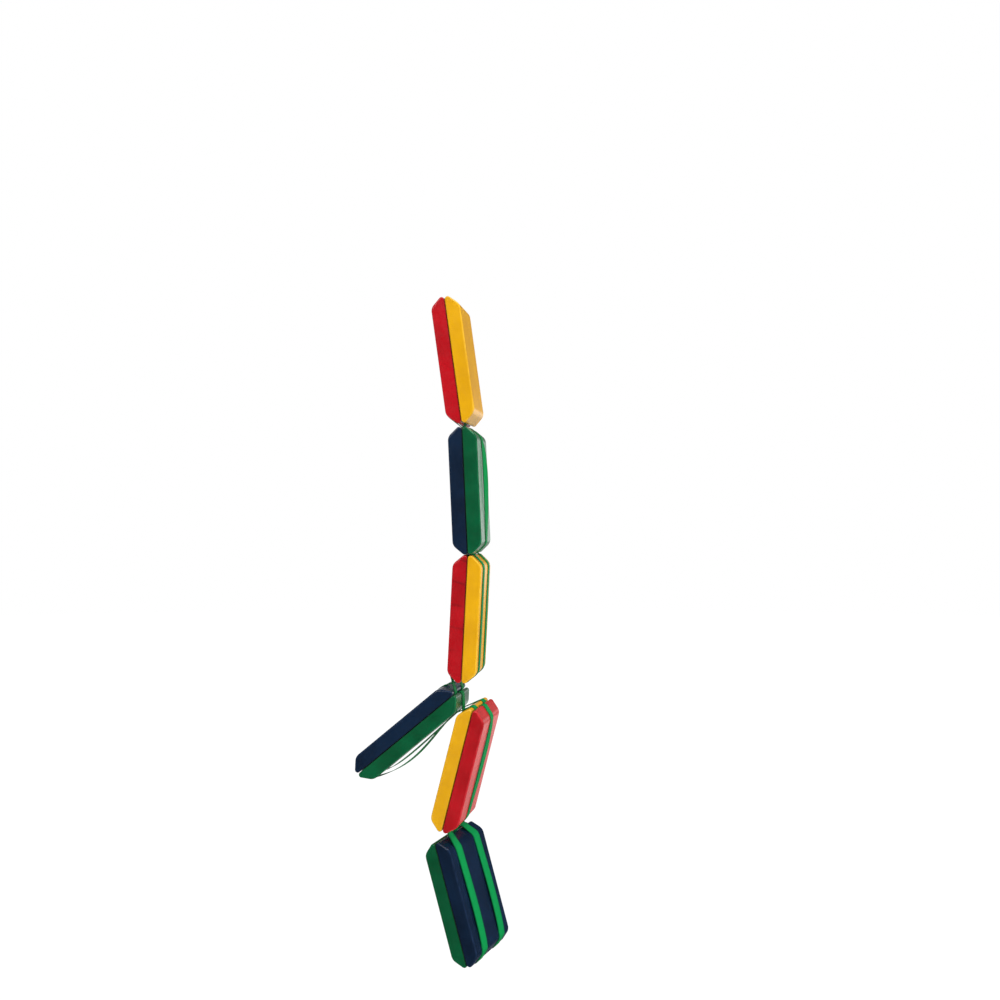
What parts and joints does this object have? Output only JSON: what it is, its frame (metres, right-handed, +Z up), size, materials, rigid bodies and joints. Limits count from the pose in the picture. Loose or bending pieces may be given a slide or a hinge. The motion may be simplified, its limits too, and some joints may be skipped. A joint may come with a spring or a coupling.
{
  "type": "jacob's ladder toy",
  "caption": "Folding wooden toy: a hanging chain of flat painted blocks with bevelled ends, joined by crossing ribbons so each block can flip over.",
  "frame": {"origin": "middle of the upper block, where it is pinched to hold the chain up", "axes": "+Z up along the hanging chain, +X to the right in the front view, Y across the width of the blocks, with the front at -Y"},
  "size_m": [0.0728, 0.0459, 0.3324],
  "materials": {
    "red_paint": "gloss paint",
    "yellow_paint": "gloss paint",
    "navy_paint": "gloss paint",
    "green_paint": "gloss paint",
    "ribbon": "woven"
  },
  "bodies": {
    "block_1": {"block_1_red": "red_paint", "block_1_yellow": "yellow_paint", "ribbon_12_near": "ribbon", "ribbon_12_far": "ribbon"},
    "block_2": {"block_2_navy": "navy_paint", "block_2_green": "green_paint", "ribbon_12_middle": "ribbon", "ribbon_23_middle": "ribbon"},
    "block_3": {"block_3_red": "red_paint", "block_3_yellow": "yellow_paint", "ribbon_23_near": "ribbon", "ribbon_23_far": "ribbon", "ribbon_34_near": "ribbon", "ribbon_34_far": "ribbon"},
    "block_4": {"block_4_navy": "navy_paint", "block_4_green": "green_paint", "ribbon_34_middle": "ribbon", "ribbon_45_near": "ribbon", "ribbon_45_far": "ribbon"},
    "block_5": {"block_5_yellow": "yellow_paint", "block_5_red": "red_paint", "ribbon_45_middle": "ribbon", "ribbon_56_middle": "ribbon"},
    "block_6": {"block_6_green": "green_paint", "block_6_navy": "navy_paint", "ribbon_56_near": "ribbon", "ribbon_56_far": "ribbon"}
  },
  "joints": [
    {"name": "hinge_12", "type": "hinge", "parent": "block_1", "child": "block_2", "pos_m": [-0.00313, 0, -0.03289], "axis": [0, 1, 0], "range_deg": [-11, 174.7], "deforming": ["ribbon_12_near", "ribbon_12_middle", "ribbon_12_far"]},
    {"name": "hinge_23", "type": "hinge", "parent": "block_2", "child": "block_3", "pos_m": [0.01501, 0, -0.09643], "axis": [0, -1, 0], "range_deg": [-0.4, 179], "deforming": ["ribbon_23_near", "ribbon_23_middle", "ribbon_23_far"]},
    {"name": "hinge_34", "type": "hinge", "parent": "block_3", "child": "block_4", "pos_m": [-0.00344, 0, -0.15943], "axis": [0.0205, 0.9998, 0.0025], "range_deg": [-47.4, 132.59], "deforming": ["ribbon_34_near", "ribbon_34_middle", "ribbon_34_far"]},
    {"name": "hinge_45", "type": "hinge", "parent": "block_4", "child": "block_5", "pos_m": [0.00367, -0.00041, -0.17333], "axis": [0.0094, 0.9959, 0.0899], "range_deg": [-31, 35.92], "deforming": ["ribbon_45_near", "ribbon_45_middle", "ribbon_45_far"]},
    {"name": "hinge_56", "type": "hinge", "parent": "block_5", "child": "block_6", "pos_m": [0.00333, 0.00112, -0.23565], "axis": [-0.2051, -0.9784, -0.0239], "range_deg": [-30, 150.79], "deforming": ["ribbon_56_near", "ribbon_56_middle", "ribbon_56_far"]}
  ]
}
